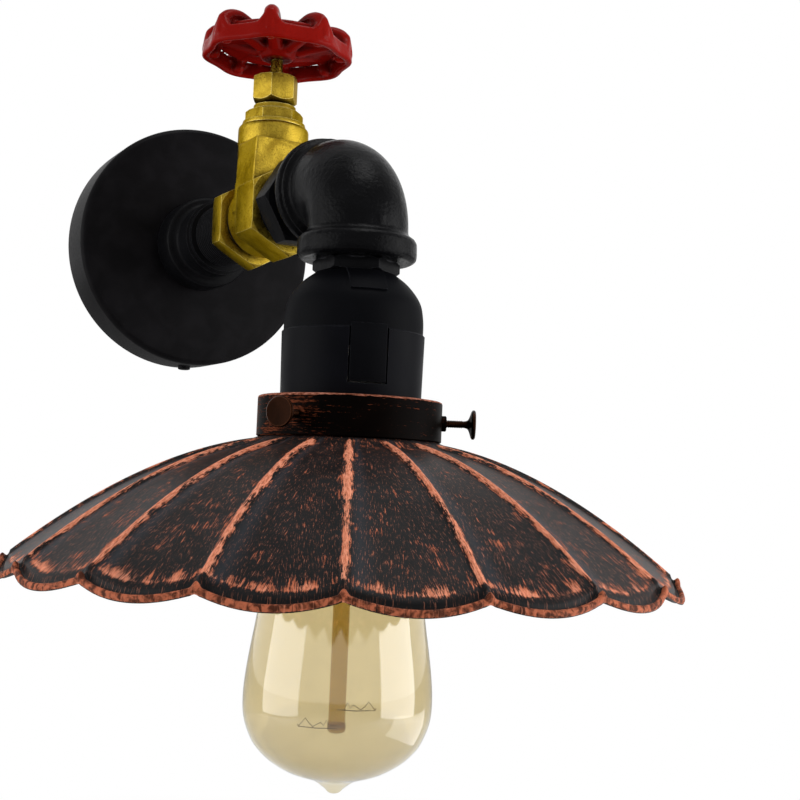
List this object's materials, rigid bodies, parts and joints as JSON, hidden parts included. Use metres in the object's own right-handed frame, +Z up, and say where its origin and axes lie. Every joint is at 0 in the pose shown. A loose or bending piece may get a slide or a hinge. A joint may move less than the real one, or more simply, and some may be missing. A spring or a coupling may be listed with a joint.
{
  "type": "wall lamp",
  "caption": "Industrial pipe wall lamp: round wall cup, pipe arm with a brass valve and red handwheel, elbow, lampholder, pleated shade and filament bulb.",
  "frame": {"origin": "centre of the wall cup in the wall plane, on the strap's back face", "axes": "+Y into the wall, +Z up, the arm runs along -Y and the lamp axis is parallel to Z"},
  "size_m": [0.2208, 0.2886, 0.28],
  "materials": {
    "zinc_steel": "zinc plated",
    "satin_black_paint": "satin black paint",
    "black_screw": "blackened steel",
    "white_plastic": "moulded",
    "plain_brass": "plain",
    "core_insulation": "wire insulation",
    "cable_sheath": "flexible sheath",
    "black_pipe": "black painted pipe",
    "valve_brass": "sand cast and machined, olive gold",
    "fibre": "fibre gasket",
    "red_enamel": "glossy red enamel",
    "black_cast_iron": "black enamelled casting",
    "black_plastic": "moulded, fine matt",
    "core_ceramic": "unglazed",
    "brushed_copper_black": "black paint brushed over with copper",
    "bronze_screw": "dark bronze",
    "solder": "solder",
    "black_glass": "black glass",
    "amber_glass": "clear amber",
    "stem_glass": "amber glass",
    "support_wire": "fine wire"
  },
  "bodies": {
    "wall_base": {"wall_bracket": "zinc_steel", "wall_plate": "satin_black_paint", "side_screws": "black_screw", "terminal_block": "white_plastic", "terminal_tubes": "plain_brass", "terminal_screws": "zinc_steel", "terminal_fixing_screw": "zinc_steel", "earth_tag": "plain_brass", "earth_screw": "zinc_steel", "cup_cores": "core_insulation", "arm_cable": "cable_sheath", "plate_nipple": "black_pipe", "plate_lock_washer": "zinc_steel", "plate_lock_nut": "zinc_steel", "extension_piece": "black_pipe", "valve_body": "valve_brass", "bonnet_gasket": "fibre", "valve_bonnet": "valve_brass", "gland_packing": "fibre", "gland_nut": "valve_brass", "hex_nipple": "black_pipe"},
    "wheel": {"valve_stem": "valve_brass", "handwheel": "red_enamel", "handwheel_nut": "zinc_steel"},
    "head": {"elbow": "black_cast_iron", "head_cable": "cable_sheath", "hex_bush": "black_pipe", "entry_nipple": "zinc_steel", "entry_nut": "zinc_steel", "holder_dome": "black_plastic", "holder_skirt": "black_plastic", "holder_core": "core_ceramic", "holder_cores": "core_insulation", "holder_terminals": "plain_brass", "holder_terminal_screws": "zinc_steel", "screw_shell": "plain_brass", "centre_contact": "plain_brass", "clamp_ring": "black_plastic", "shade_gallery": "brushed_copper_black"},
    "thumb_screw_right": {"thumb_screw_1": "bronze_screw"},
    "thumb_screw_left": {"thumb_screw_2": "bronze_screw"},
    "thumb_screw_rear": {"thumb_screw_3": "bronze_screw"},
    "pleated_shade": {"shade": "brushed_copper_black"},
    "bulb": {"bulb_contact": "solder", "bulb_insulator": "black_glass", "bulb_cap": "plain_brass", "bulb_glass": "amber_glass", "bulb_stem": "stem_glass", "filament_hooks": "support_wire", "filament": "support_wire"}
  },
  "joints": [
    {"name": "handwheel_turn", "type": "hinge", "parent": "wall_base", "child": "wheel", "pos_m": [0, -0.1005, 0.0623], "axis": [0, 0, 1], "continuous": true},
    {"name": "head_swivel", "type": "hinge", "parent": "wall_base", "child": "head", "pos_m": [0, -0.155, 0], "axis": [0, 1, 0], "range_deg": [-90, 90]},
    {"name": "shade_turn", "type": "hinge", "parent": "head", "child": "pleated_shade", "pos_m": [0, -0.178, -0.082], "axis": [0, 0, 1], "continuous": true},
    {"name": "bulb_unscrew", "type": "hinge", "parent": "head", "child": "bulb", "pos_m": [0, -0.178, -0.09], "axis": [0, 0, 1], "range_deg": [0, 1620]},
    {"name": "thumb_screw_right_turn", "type": "hinge", "parent": "head", "child": "thumb_screw_right", "pos_m": [0.03096, -0.19432, -0.0807], "axis": [0.8846, -0.4664, 0], "range_deg": [0, 1080]},
    {"name": "thumb_screw_left_turn", "type": "hinge", "parent": "head", "child": "thumb_screw_left", "pos_m": [-0.02962, -0.19665, -0.0807], "axis": [-0.8462, -0.5329, 0], "range_deg": [0, 1080]},
    {"name": "thumb_screw_rear_turn", "type": "hinge", "parent": "head", "child": "thumb_screw_rear", "pos_m": [-0.00134, -0.14303, -0.0807], "axis": [-0.0384, 0.9993, 0], "range_deg": [0, 1080]}
  ]
}
